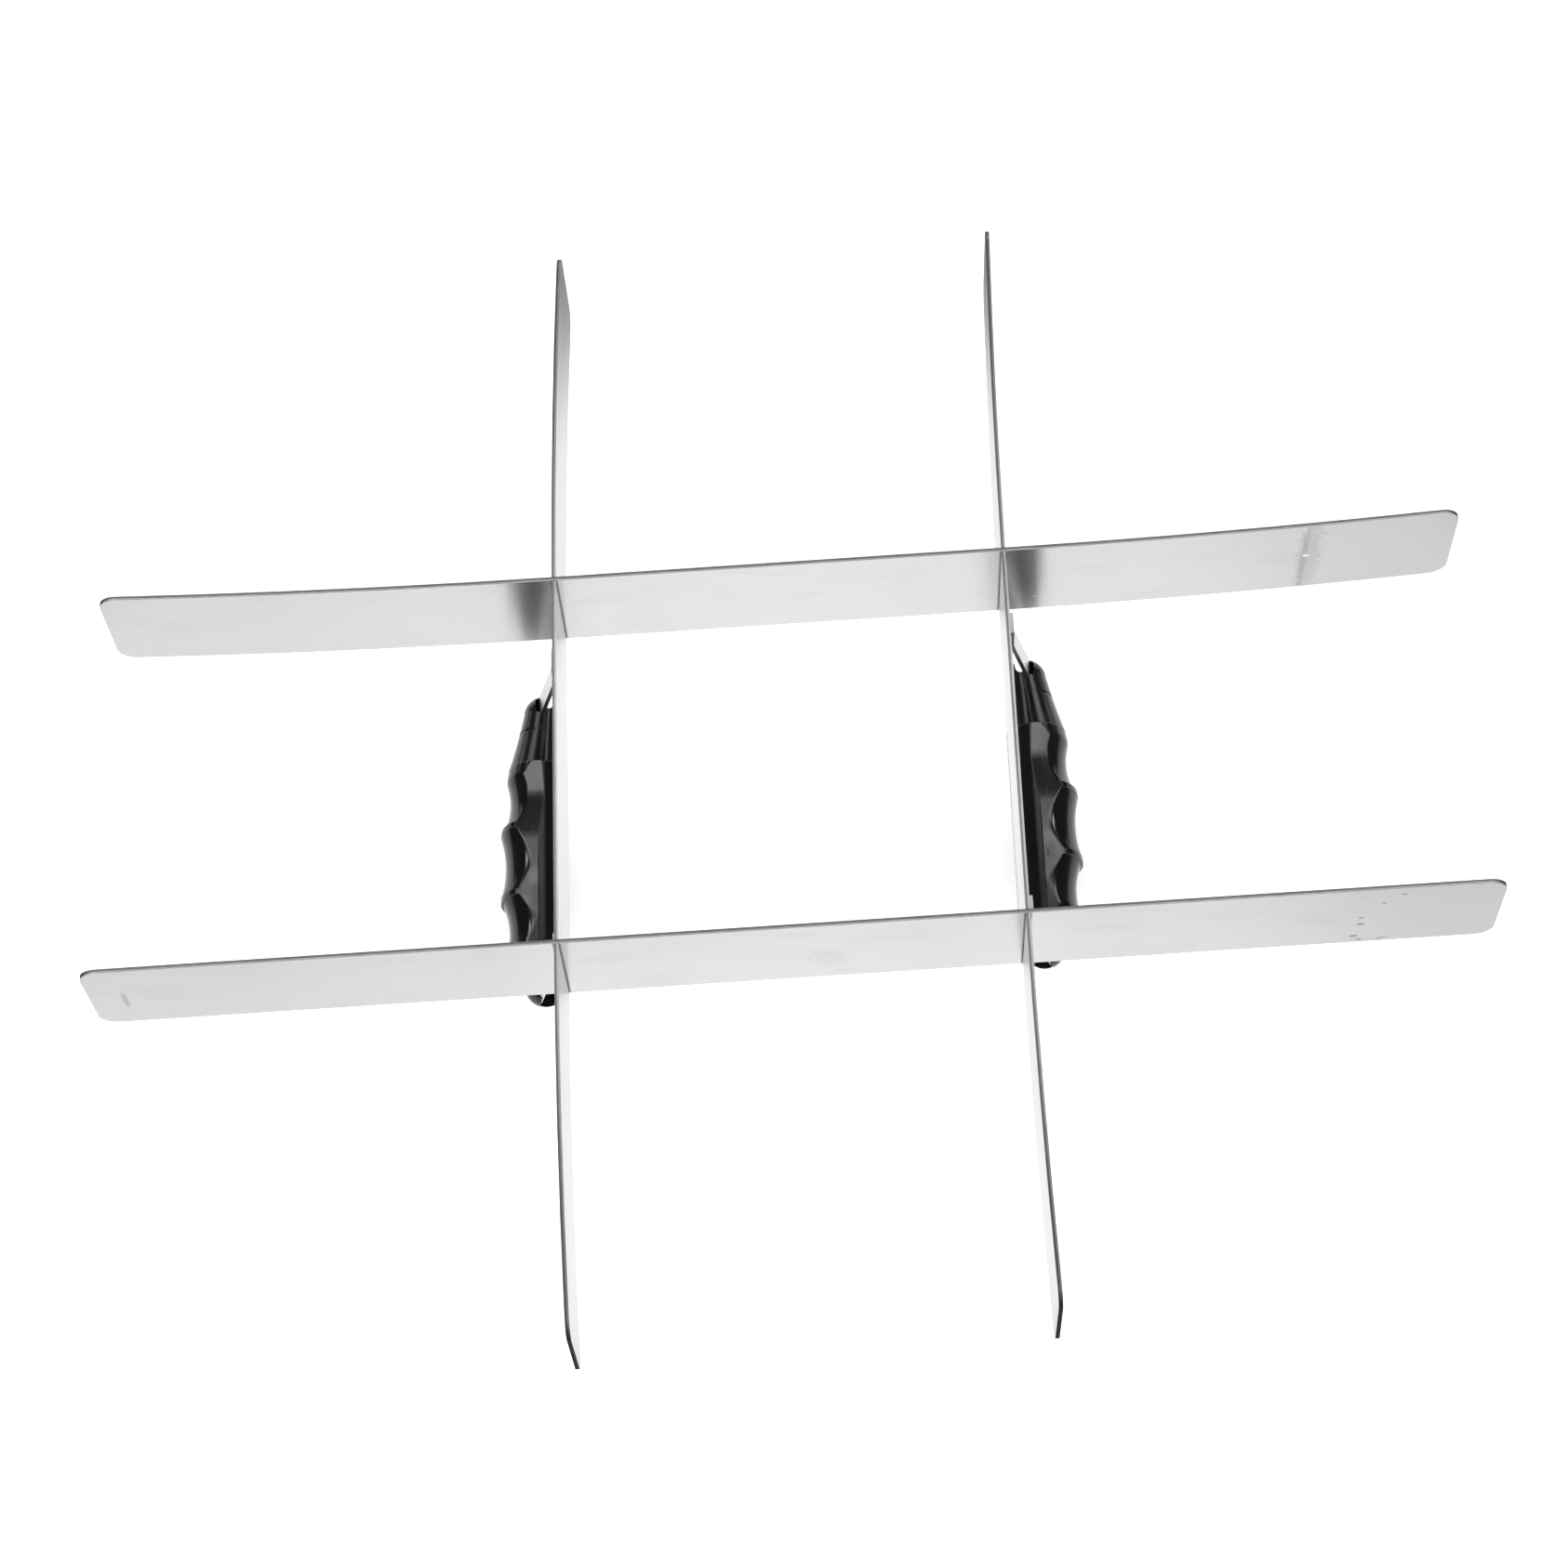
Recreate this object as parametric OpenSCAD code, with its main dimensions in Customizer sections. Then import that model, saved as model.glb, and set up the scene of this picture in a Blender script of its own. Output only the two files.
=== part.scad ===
// Cake portion marker: four strips of stainless steel set on edge as a grid, with a moulded finger grip
// on a stamped strap at each side. It is modelled as it lies, on its grips with the marking edges up.
// Millimetres. X runs along the long blades, Y along the short ones, Z up, origin under the middle.

/* [Blades] */
// length of the two long blades
long_blade_length = 486; // [430:1:560]
// length of the two short blades
short_blade_length = 416; // [380:1:480]
// distance between the two short blades, which cross the long ones
short_blade_pitch = 160; // [150:1:190]
// distance between the two long blades
long_blade_pitch = 140; // [135:1:170]
// height of every blade, marking edge to far edge
blade_width = 44; // [36:1:60]
// thickness of the strip
strip_thickness = 1.5; // [1:0.1:2]
// radius of the rounded corners of every blade
corner_radius = 6.5; // [2:0.5:12]
// room on each side of a blade in the slot it drops into
slot_clearance = 0.1; // [0.05:0.05:0.3]

/* [Wear] */
// angle in degrees by which the grid has been pushed out of square
racking = 1.3; // [0:0.1:3]
// how far the free ends of the back long blade are bent backwards
back_bow = 4; // [0:0.1:6]
// how far the free ends of the left short blade are bent to the right
left_bow = 2.8; // [0:0.1:6]
// how far the free ends of the right short blade are bent to the right
right_bow = 2.2; // [0:0.1:6]

/* [Handle plates] */
// height of the marking edges above the surface the grips lie on
overall_height = 78; // [74:1:90]
// distance from the middle of a long blade to the middle of the leg beside it
leg_setback = 14.5; // [13.5:0.1:17]
// width of a leg
leg_width = 8.1; // [7:0.1:9]
// thickness of the plate
plate_thickness = 1.5; // [1:0.1:2]
// depth from the marking edge to the top of a welded tab
tab_depth = 24; // [20:1:28]
// length of the flat tab above the bend
tab_length = 9; // [7:0.5:12]
// radius of the bend, measured in the middle of the plate
bend_radius = 8; // [5:0.5:12]
// angle in degrees by which the right plate leans outwards
lean_right = 14.25; // [13.75:0.5:14.75]
// angle in degrees by which the left plate leans outwards
lean_left = 15.8; // [15.8:0.15:16.1]
// stand-off of a tab from its blade, filled by the weld boss
weld_gap = 1; // [0.6:0.1:1.4]
// radius of the weld boss
weld_radius = 3; // [2:0.25:4]
// width of the band of the plate that lies inside the grip
band_width = 7; // [5:0.5:8]
// radius of the outer corners where the legs run into the band
plate_corner = 2.5; // [1.5:0.5:5]
// shift of the right handle along its blade
right_shift = -2.3; // [-6:0.1:6]
// shift of the left handle along its blade
left_shift = -5; // [-6:0.1:6]

/* [Grips] */
// distance between the legs for which the lengths of the body and its scoops are given
body_leg_pitch = 111; // [106:1:120]
// half of the height of a grip, which is also the height of its axis
grip_half_height = 11.7; // [11:0.1:13]
// how far the centre of each domed cap lies inwards of the middle of its leg
cap_setback = 1.8; // [1.5:0.1:3]
// radius of the domed caps
cap_radius = 7.6; // [7:0.1:8]
// how far the caps sit inwards of the plate, at the height of the axis
cap_inset = 2.1; // [1.5:0.1:3]
// how far the lengthwise mould line sits inwards of the plate
mould_line_inset = 0.7; // [0:0.1:1.5]
// how far the centre of the smooth inner side sits outwards of the plate
inner_centre_offset = 1.1; // [0.5:0.1:1.5]
// largest reach of the finger side beyond the mould line
finger_side_reach = 14.9; // [14:0.1:16]
// radius of the lengthwise crown of the finger side
crown_radius = 258; // [150:1:400]
// place of the highest point of the crown along the grip
crown_place = -9; // [-15:0.5:0]
// end of the scooped body towards the long taper
body_front = 30.9; // [29:0.1:33]
// end of the scooped body towards the short taper
body_back = -47.5; // [-49:0.1:-46]
// radius of the long taper where it meets the body
long_taper_radius = 10.9; // [10:0.1:11.2]
// radius of the short taper where it meets the body
short_taper_radius = 10.6; // [9.6:0.1:11]
// how far the tapers sit outwards of the plate where they meet the body
taper_offset = 0.3; // [0:0.05:0.5]
// distance from the centre of the cap to the grooved ring on the long taper
long_groove_place = 8; // [6:0.1:10]
// distance from the centre of the cap to the grooved ring on the short taper
short_groove_place = 1.5; // [1:0.1:2.5]
// width of the grooved ring behind each cap
groove_width = 0.9; // [0.5:0.1:1.5]
// depth of the grooved ring
groove_depth = 0.6; // [0.3:0.1:1]
// reach of the relief that frees a leg from the cap, from the middle of the plate towards the blade
relief_reach = 6; // [5:0.1:6.5]
// depth of the relief below the axis of the grip
relief_drop = 4.5; // [4:0.5:5]
// radius of the corner of the relief
relief_corner = 2.9; // [2:0.1:3]
// distance from the near edge of a leg to the wall of the relief
relief_setback = 1.7; // [1.2:0.1:3]
// reach of the pocket outwards of a leg, from the middle of the plate
pocket_reach = 2.4; // [1.6:0.1:3]
// distance from the near edge of a leg to the near wall of the pocket
pocket_setback = 0.7; // [0.3:0.1:1.5]
// length of the pocket along the grip, which leaves the end of the cap closed
pocket_length = 6.6; // [5:0.1:7]
// radius of the corners of the pocket
pocket_corner = 1.2; // [0.8:0.1:1.4]
// depth of the pocket below the axis of the grip
pocket_drop = 3; // [1:0.5:4]
// gap that the shrinking plastic leaves round the plate
mould_clearance = 0.05; // [0.02:0.01:0.2]

/* [Finger scoops] */
// middle of the first scoop along the grip
scoop_1_place = 17.6; // [17:0.1:18.5]
// length of the first scoop
scoop_1_length = 22; // [20:0.1:22.4]
// reach of the first scoop from the plate at its deepest
scoop_1_reach = 10.5; // [10:0.1:12]
// depth of the first scoop in its middle, measured from its ends
scoop_1_depth = 2.25; // [1.5:0.05:3]
// eccentricity of the first scoop from the plate
scoop_1_axis = -1.45; // [-2.5:0.05:0.5]
// middle of the second scoop along the grip
scoop_2_place = -7.9; // [-8.5:0.1:-7]
// length of the second scoop
scoop_2_length = 24.4; // [22:0.1:25]
// reach of the second scoop from the plate at its deepest
scoop_2_reach = 12.2; // [11.5:0.1:13]
// depth of the second scoop in its middle, measured from its ends
scoop_2_depth = 1.7; // [1:0.05:2.5]
// eccentricity of the second scoop from the plate
scoop_2_axis = 0.2; // [-1:0.05:0.6]
// middle of the third scoop along the grip
scoop_3_place = -34; // [-35:0.1:-33]
// length of the third scoop
scoop_3_length = 23.2; // [20:0.1:24]
// reach of the third scoop from the plate at its deepest
scoop_3_reach = 10.8; // [10:0.1:12]
// depth of the third scoop in its middle, measured from its ends
scoop_3_depth = 2.25; // [1.5:0.05:3]
// eccentricity of the third scoop from the plate
scoop_3_axis = -1.5; // [-2.5:0.05:0.5]

/* [Hidden] */
$fn = 96;
far_edge = overall_height - blade_width;
half_lap = far_edge + blade_width / 2;
crossing_shift = long_blade_pitch / 2 * tan(racking);
short_crossing = long_blade_pitch / 2 / cos(racking);
slot_width = strip_thickness + 2 * slot_clearance;
blade_face = strip_thickness / 2;
leg_pitch = long_blade_pitch - 2 * leg_setback;
leg_near = leg_pitch / 2 - leg_width / 2;
stretch = leg_pitch / body_leg_pitch;
cap_reach = leg_pitch / 2 - cap_setback;
front_end = stretch * body_front;
back_end = stretch * body_back;
room = 4 * grip_half_height;
tab_top = overall_height - tab_depth;
bend_top = tab_top - tab_length;
tab_middle = blade_face + weld_gap + plate_thickness / 2;
band_top = grip_half_height + band_width / 2;
band_bottom = grip_half_height - band_width / 2;
steel = [0.78, 0.78, 0.79];
black = [0.03, 0.03, 0.03];

// distance of the middle of a plate from its blade, at the height of the grip's axis
function plate_out(lean) = tab_middle + bend_radius * (1 - cos(lean))
    + (bend_top - bend_radius * sin(lean) - grip_half_height) * tan(lean);

// Blades

// side view of a blade, with its four rounded corners
module blade_outline(length)
{
    half = length / 2;
    translate([-half + corner_radius, far_edge])
        square([length - 2 * corner_radius, blade_width]);
    translate([-half, far_edge + corner_radius])
        square([length, blade_width - 2 * corner_radius]);
    for (x = [-1, 1])
        for (z = [corner_radius, blade_width - corner_radius])
            translate([x * (half - corner_radius), far_edge + z])
                circle(corner_radius);
}

// free end of a blade seen from above, leaving its crossing straight on and bending to one side
module free_end_plan(reach, bow)
{
    sweep = (reach * reach + bow * bow) / (2 * bow);
    intersection()
    {
        translate([0, sweep])
            difference()
            {
                circle(sweep + strip_thickness / 2, $fn = 3600);
                circle(sweep - strip_thickness / 2, $fn = 3600);
            }
        translate([0, -strip_thickness])
            square([2 * reach, bow + 3 * strip_thickness]);
    }
}

// blade seen from above: straight between the crossings, bent outside them
module blade_plan(length, crossing, bow)
{
    reach = length / 2 - crossing;
    if (bow == 0)
        translate([-length, -strip_thickness / 2])
            square([2 * length, strip_thickness]);
    if (bow > 0)
    {
        translate([-crossing, -strip_thickness / 2])
            square([2 * crossing, strip_thickness]);
        translate([crossing, 0])
            free_end_plan(reach, bow);
        mirror([1, 0])
            translate([crossing, 0])
                free_end_plan(reach, bow);
    }
}

module blade(length, crossing, bow)
{
    intersection()
    {
        linear_extrude(2 * overall_height)
            blade_plan(length, crossing, bow);
        translate([0, blade_width, 0])
            rotate([90, 0, 0])
                linear_extrude(2 * blade_width)
                    blade_outline(length);
    }
}

// slots in a long blade, open at its far edge, where the short blades pass
module short_blade_slots()
{
    for (side = [-1, 1])
        translate([side * short_blade_pitch / 2, 0, 0])
            rotate([0, 0, -racking])
                translate([-slot_width / 2, -short_blade_length / 2, half_lap - blade_width])
                    cube([slot_width, short_blade_length, blade_width]);
}

// slots in a short blade, open at its marking edge, where the long blades pass
module long_blade_slots()
{
    for (side = [-1, 1])
        translate([-long_blade_length / 2, side * long_blade_pitch / 2 - slot_width / 2, half_lap])
            cube([long_blade_length, slot_width, blade_width]);
}

module long_blade(side, bow)
{
    difference()
    {
        translate([side * crossing_shift, side * long_blade_pitch / 2, 0])
            blade(long_blade_length, short_blade_pitch / 2, bow);
        short_blade_slots();
    }
}

module short_blade(side, bow)
{
    difference()
    {
        translate([side * short_blade_pitch / 2, 0, 0])
            rotate([0, 0, 90 - racking])
                mirror([0, 1, 0])
                    blade(short_blade_length, short_crossing, bow);
        long_blade_slots();
    }
}

module long_blade_back()
{
    color(steel)
        long_blade(1, back_bow);
}

module long_blade_front()
{
    color(steel)
        long_blade(-1, 0);
}

module short_blade_left()
{
    color(steel)
        short_blade(-1, left_bow);
}

module short_blade_right()
{
    color(steel)
        short_blade(1, right_bow);
}

// Handles: X is the distance out from the middle of the blade, Y runs along it

// the strip that the blank is folded into: flat tab, bend and leaning leg
module plate_strip(lean, thickness)
{
    translate([tab_middle - thickness / 2, -leg_pitch, bend_top])
        cube([thickness, 2 * leg_pitch, tab_length]);
    intersection()
    {
        translate([tab_middle + bend_radius, 0, bend_top])
            rotate([0, -lean, 0])
            {
                translate([0, leg_pitch, 0])
                    rotate([90, 0, 0])
                        rotate([0, 0, 90])
                            rotate_extrude(angle = 90)
                                translate([bend_radius - thickness / 2, 0])
                                    square([thickness, 2 * leg_pitch]);
                translate([-bend_radius - thickness / 2, -leg_pitch, -2 * bend_top])
                    cube([thickness, 2 * leg_pitch, 2 * bend_top]);
            }
        translate([-room, -leg_pitch, -bend_top])
            cube([3 * room, 2 * leg_pitch, 2 * bend_top]);
    }
}

// the blank seen from the side: two legs joined by the band, with rounded corners
module plate_blank(grow)
{
    outer = leg_pitch / 2 + leg_width / 2 + grow;
    inner = leg_pitch / 2 - leg_width / 2 - grow;
    corner = plate_corner;
    difference()
    {
        union()
        {
            translate([-outer, band_bottom + corner])
                square([2 * outer, tab_top - band_bottom - corner]);
            translate([-outer + corner, band_bottom])
                square([2 * (outer - corner), 2 * corner]);
            for (side = [-1, 1])
                translate([side * (outer - corner), band_bottom + corner])
                    circle(corner);
        }
        translate([-inner, band_top + grow])
            square([2 * inner, tab_top]);
    }
}

module plate_body(lean, grow)
{
    intersection()
    {
        plate_strip(lean, plate_thickness + 2 * grow);
        rotate([90, 0, 90])
            linear_extrude(room)
                plate_blank(grow);
    }
}

module handle_plate(lean)
{
    plate_body(lean, 0);
    for (side = [-1, 1])
        translate([blade_face, side * leg_pitch / 2, bend_top + tab_length / 2])
            rotate([0, 90, 0])
                cylinder(h = weld_gap + plate_thickness / 3, r = weld_radius);
}

// domed cap and the cone that widens from it to the body, with the grooved ring between them
module grip_end(reach, wide_radius, wide_out, cap_out, groove_place)
{
    across = wide_out - cap_out;
    length = sqrt(reach * reach + across * across);
    swing = atan(across / reach);
    inner_cap = cap_radius - 0.05;
    slope = acos(inner_cap / sqrt(wide_radius * wide_radius + length * length))
        - atan(length / wide_radius);
    narrow_place = -inner_cap * sin(slope);
    end_place = length + cap_radius;
    groove_radius = inner_cap / cos(slope) + groove_place * tan(slope) - groove_depth;
    translate([cap_out, cap_reach, grip_half_height])
        difference()
        {
            union()
            {
                sphere(cap_radius);
                intersection()
                {
                    rotate([90, 0, swing])
                        translate([0, 0, narrow_place])
                            cylinder(h = end_place - narrow_place, r1 = inner_cap * cos(slope),
                                     r2 = inner_cap / cos(slope) + end_place * tan(slope));
                    translate([-room, -reach, -room])
                        cube([2 * room, reach + room, 2 * room]);
                }
            }
            rotate([90, 0, swing])
                translate([0, 0, groove_place])
                    difference()
                    {
                        cylinder(h = groove_width, r = 3 * cap_radius);
                        translate([0, 0, -groove_width])
                            cylinder(h = 3 * groove_width, r = groove_radius);
                    }
        }
}

// what one finger scoop takes away, turned about its own eccentric axis
module scoop(given_place, given_length, deepest, depth)
{
    place = stretch * given_place;
    length = stretch * given_length;
    sweep = (length * length / 4 + depth * depth) / (2 * depth);
    rotate([-90, 0, 0])
        rotate_extrude()
            intersection()
            {
                translate([deepest + sweep, place])
                    circle(sweep, $fn = 180);
                translate([0, place - length / 2])
                    square([2 * finger_side_reach, length]);
            }
}

// finger side: crowned lengthwise, flat above and below, with the scoops cut into it
module finger_side(out)
{
    line = out - mould_line_inset;
    difference()
    {
        intersection()
        {
            translate([line, 0, grip_half_height])
                rotate([-90, 0, 0])
                    rotate_extrude()
                        intersection()
                        {
                            translate([finger_side_reach - crown_radius, stretch * crown_place])
                                circle(crown_radius, $fn = 720);
                            translate([0, back_end])
                                square([2 * finger_side_reach, front_end - back_end]);
                        }
            translate([line, -leg_pitch, 0])
                cube([2 * finger_side_reach, 2 * leg_pitch, 2 * grip_half_height]);
        }
        translate([out + scoop_1_axis, 0, grip_half_height])
            scoop(scoop_1_place, scoop_1_length, scoop_1_reach - scoop_1_axis, scoop_1_depth);
        translate([out + scoop_2_axis, 0, grip_half_height])
            scoop(scoop_2_place, scoop_2_length, scoop_2_reach - scoop_2_axis, scoop_2_depth);
        translate([out + scoop_3_axis, 0, grip_half_height])
            scoop(scoop_3_place, scoop_3_length, scoop_3_reach - scoop_3_axis, scoop_3_depth);
    }
}

// smooth side that faces the blade
module inner_side(out)
{
    intersection()
    {
        translate([out + inner_centre_offset, back_end, grip_half_height])
            rotate([-90, 0, 0])
                cylinder(h = front_end - back_end, r = grip_half_height);
        translate([out - mould_line_inset - room, -leg_pitch, -grip_half_height])
            cube([room, 2 * leg_pitch, room]);
    }
}

// what frees a leg where it enters the cap: a relief on the side of the blade, open to the end of the
// grip, and a pocket on the finger side
module leg_relief(lean, out)
{
    translate([out, leg_near, grip_half_height])
    {
        intersection()
        {
            translate([-relief_reach, relief_setback, -relief_drop])
            {
                translate([relief_corner, relief_corner, 0])
                    cylinder(h = room, r = relief_corner);
                translate([0, relief_corner, 0])
                    cube([2 * relief_reach, room, room]);
                translate([relief_corner, 0, 0])
                    cube([2 * relief_reach - relief_corner, room, room]);
            }
            rotate([0, -lean, 0])
                translate([-room, -room, -room])
                    cube([room, 3 * room, 3 * room]);
        }
        rotate([0, -lean, 0])
            translate([0, pocket_setback, -pocket_drop])
            {
                cube([pocket_reach - pocket_corner, pocket_length, room]);
                translate([0, pocket_corner, 0])
                    cube([pocket_reach, pocket_length - 2 * pocket_corner, room]);
                for (y = [pocket_corner, pocket_length - pocket_corner])
                    translate([pocket_reach - pocket_corner, y, 0])
                        cylinder(h = room, r = pocket_corner);
            }
    }
}

module grip(lean)
{
    out = plate_out(lean);
    difference()
    {
        union()
        {
            finger_side(out);
            inner_side(out);
            grip_end(cap_reach - front_end, long_taper_radius, out + taper_offset, out - cap_inset,
                     long_groove_place);
            mirror([0, 1, 0])
                grip_end(cap_reach + back_end, short_taper_radius, out + taper_offset, out - cap_inset,
                         short_groove_place);
        }
        plate_body(lean, mould_clearance);
        leg_relief(lean, out);
        mirror([0, 1, 0])
            leg_relief(lean, out);
    }
}

// puts a handle beside its short blade; the left one is the mirror image of the right one
module beside_blade(side, shift)
{
    translate([side * short_blade_pitch / 2, 0, 0])
        rotate([0, 0, -racking])
            translate([0, shift, 0])
                if (side < 0)
                    mirror([1, 0, 0])
                        children();
                else
                    children();
}

module handle_plate_left()
{
    color(steel)
        beside_blade(-1, left_shift)
            handle_plate(lean_left);
}

module handle_plate_right()
{
    color(steel)
        beside_blade(1, right_shift)
            handle_plate(lean_right);
}

module grip_left()
{
    color(black)
        beside_blade(-1, left_shift)
            grip(lean_left);
}

module grip_right()
{
    color(black)
        beside_blade(1, right_shift)
            grip(lean_right);
}

long_blade_back();
long_blade_front();
short_blade_left();
short_blade_right();
handle_plate_left();
handle_plate_right();
grip_left();
grip_right();
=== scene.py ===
"""Looks of the cake portion marker: brushed steel, black moulded finger grips, and the studio.

The script is laid out as an add-on and run as a script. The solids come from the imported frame; the grips are
redrawn here as finer surfaces of the same form.
"""

import math

import bmesh
import bpy
import numpy as np
from mathutils import Matrix, Vector


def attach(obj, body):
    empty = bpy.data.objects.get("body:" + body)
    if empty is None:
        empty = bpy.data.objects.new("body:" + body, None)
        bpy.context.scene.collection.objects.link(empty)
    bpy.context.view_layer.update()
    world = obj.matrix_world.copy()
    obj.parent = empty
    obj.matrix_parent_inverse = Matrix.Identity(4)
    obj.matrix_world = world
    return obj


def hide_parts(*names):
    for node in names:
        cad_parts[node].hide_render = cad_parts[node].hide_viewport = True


bl_info = {
    "name": "Cake portion marker",
    "version": (1, 0, 0),
    "blender": (4, 5, 0),
    "location": "View3D > Sidebar > Marker",
    "description": "Dresses the steel blades, the handle plates and the moulded finger grips",
    "category": "Object",
}

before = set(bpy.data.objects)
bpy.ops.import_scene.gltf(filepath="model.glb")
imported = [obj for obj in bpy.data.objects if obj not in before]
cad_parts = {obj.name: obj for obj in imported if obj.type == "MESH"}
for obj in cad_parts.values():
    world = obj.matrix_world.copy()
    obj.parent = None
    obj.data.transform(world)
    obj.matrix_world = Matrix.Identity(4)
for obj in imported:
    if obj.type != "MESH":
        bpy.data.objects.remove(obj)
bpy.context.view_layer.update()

MM = 0.001


# Sizes and finishes

# The four blades, in millimetres: half lengths, half the long ones' distance, and bows of the free ends.
LONG_HALF = 243.0
SHORT_HALF = 208.0
HALF_LONG_PITCH = 70.0
BACK_BOW = 4.0
LEFT_BOW = -2.8
RIGHT_BOW = -2.2

# Place across a cut edge where its torn side begins.
EDGE_SPLIT = -0.1

# Each mark: its middle along and up, its half length and half height, its grit, its strength and its grey.
BACK_MARKS = (
    (190.7, 56.0, 5.5, 40.0, 0.3, 0.35, 0.5),
    (189.0, 52.0, 1.6, 30.0, 0.8, 0.5, 0.42),
    (189.6, 57.0, 1.8, 1.4, 2.0, 0.9, 0.98),
    (92.0, 43.0, 1.0, 1.0, 2.0, 0.9, 0.95),
)

# Dark specks on the front blade: along, up and half length.
SPECKS = (
    (208.0, 73.0, 1.2),
    (202.0, 66.5, 1.1),
    (195.3, 55.0, 1.3),
    (195.6, 49.5, 1.8),
    (194.3, 39.5, 1.8),
    (196.3, 36.2, 1.5),
    (203.5, 36.0, 1.3),
    (205.0, 37.0, 1.0),
)
FRONT_MARKS = (
    (-231.0, 53.0, 1.3, 9.0, 1.3, 0.5, 0.45),
    (12.0, 50.0, 9.0, 9.0, 0.5, 0.09, 0.5),
    *[(along, up, size, size * 0.6, 1.5, 0.75, 0.25) for along, up, size in SPECKS],
)

# The handle plates, in millimetres: the tab's middle from its blade, the bend, and where its streaks fade.
TAB_MIDDLE = 2.5
BEND_RADIUS = 8.0
BEND_TOP = 45.0
STREAKS_START = (40.0, 43.5)
STREAKS_END = (45.0, 49.0)

# The moulded grip, in millimetres and in its own frame: u outwards from the blade, v along it, z up.
HALF_HEIGHT = 11.7
CAP_REACH = 53.7
CAP_RADIUS = 7.6
CAP_INSET = 2.1
LINE_INSET = 0.7
INNER_OFFSET = 1.1
SIDE_REACH = 14.9
CROWN_RADIUS = 258.0
CROWN_PLACE = -9.0
FRONT_END = 30.9
BACK_END = -47.5
LONG_TAPER_RADIUS = 10.9
SHORT_TAPER_RADIUS = 10.6
TAPER_OFFSET = 0.3
LONG_GROOVE = 8.0
SHORT_GROOVE = 1.5
GROOVE_WIDTH = 0.9
GROOVE_DEPTH = 0.6
GROOVE_LIP = 0.44
CONE_INSET = 0.05
TAPER_HOLLOW = 0.3
MOULD_LINE_DEPTH = 0.2
MOULD_LINE_WIDTH = 0.18
END_ROUNDING = 0.45
SCOOP_END_SLOPE = 7
CREASE_ANGLE = math.radians(38)

# Slope of the flat top in degrees at places along it.
SINK_PLACES = (-47.5, -33.0, -29.0, -15.0, -11.5, -0.5, 3.5, 15.5, 20.5, 31.0)
SINK_SLOPES = (0.9, 0.9, -0.35, 0.0, -0.7, -0.55, -1.7, -1.6, 1.1, 1.3)

# Each scoop: its place and length, how far out its deepest point stays, its depth, and its axis outwards.
SCOOPS = (
    (17.6, 22.0, 10.5, 2.25, -1.45),
    (-7.9, 24.4, 12.2, 1.7, 0.2),
    (-34.0, 23.2, 10.8, 2.25, -1.5),
)

# The relief and the pocket beside a leg, lowest and highest place from the grip's middle.
LEG_NEAR = 51.45
RELIEF_HEIGHTS = (-4.5, 14.0)
POCKET_HEIGHTS = (-3.0, 14.0)

# Finishes of the steel and the plastic; the corners reach in millimetres.
GRAIN_CONTRAST = 0.07
STEEL_ROUGHNESS = 0.21
GRAIN_ROUGHNESS = 0.08
MARK_ROUGHNESS = 0.2
EDGE_ROUGHNESS = 0.25
CORNER_REACH = 6.5
PLASTIC_ROUGHNESS = 0.12
RUBBED_ROUGHNESS = 0.06


class MarkerSizes(bpy.types.PropertyGroup):
    """Sizes that place the grips and the wear on the solids"""

    blade_pitch: bpy.props.FloatProperty(
        name="Short blade pitch",
        description="Distance between the short blades",
        default=0.160,
        unit="LENGTH",
    )
    racking: bpy.props.FloatProperty(
        name="Racking",
        description="Angle by which the grid has been pushed out of square",
        default=math.radians(1.3),
        subtype="ANGLE",
    )
    lean_left: bpy.props.FloatProperty(
        name="Left lean",
        description="Angle by which the left plate leans outwards",
        default=math.radians(15.8),
        subtype="ANGLE",
    )
    lean_right: bpy.props.FloatProperty(
        name="Right lean",
        description="Angle by which the right plate leans outwards",
        default=math.radians(14.25),
        subtype="ANGLE",
    )
    shift_left: bpy.props.FloatProperty(
        name="Left shift",
        description="Shift of the left handle along its blade",
        default=-0.005,
        unit="LENGTH",
    )
    shift_right: bpy.props.FloatProperty(
        name="Right shift",
        description="Shift of the right handle along its blade",
        default=-0.0023,
        unit="LENGTH",
    )
    softness: bpy.props.FloatProperty(
        name="Softness",
        description="Width of the rounding of the moulded ridges",
        default=0.0007,
        unit="LENGTH",
    )
    brush_pitch: bpy.props.FloatProperty(
        name="Brush pitch",
        description="Distance between the brush lines across a blade",
        default=0.0006,
        unit="LENGTH",
    )


class MarkerFinish(bpy.types.PropertyGroup):
    """Colours and finishes of the materials"""

    steel: bpy.props.FloatVectorProperty(
        name="Steel",
        description="Colour of the brushed faces",
        default=(0.66, 0.66, 0.662),
        subtype="COLOR",
        size=3,
    )
    grip: bpy.props.FloatVectorProperty(
        name="Grip",
        description="Colour of the moulded plastic",
        default=(0.005, 0.005, 0.0053),
        subtype="COLOR",
        size=3,
    )
    floor: bpy.props.FloatVectorProperty(
        name="Floor",
        description="Colour of the floor",
        default=(0.92, 0.92, 0.92),
        subtype="COLOR",
        size=3,
    )


# Camera and studio

CAMERA_PLACE = (0.0057, -0.5565, 1.2032)
CAMERA_ELEVATION = math.radians(64.364)
CAMERA_AZIMUTH = math.radians(-0.740)
CAMERA_ROLL = math.radians(-4.393)
CAMERA_LENS = 83.13

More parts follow.
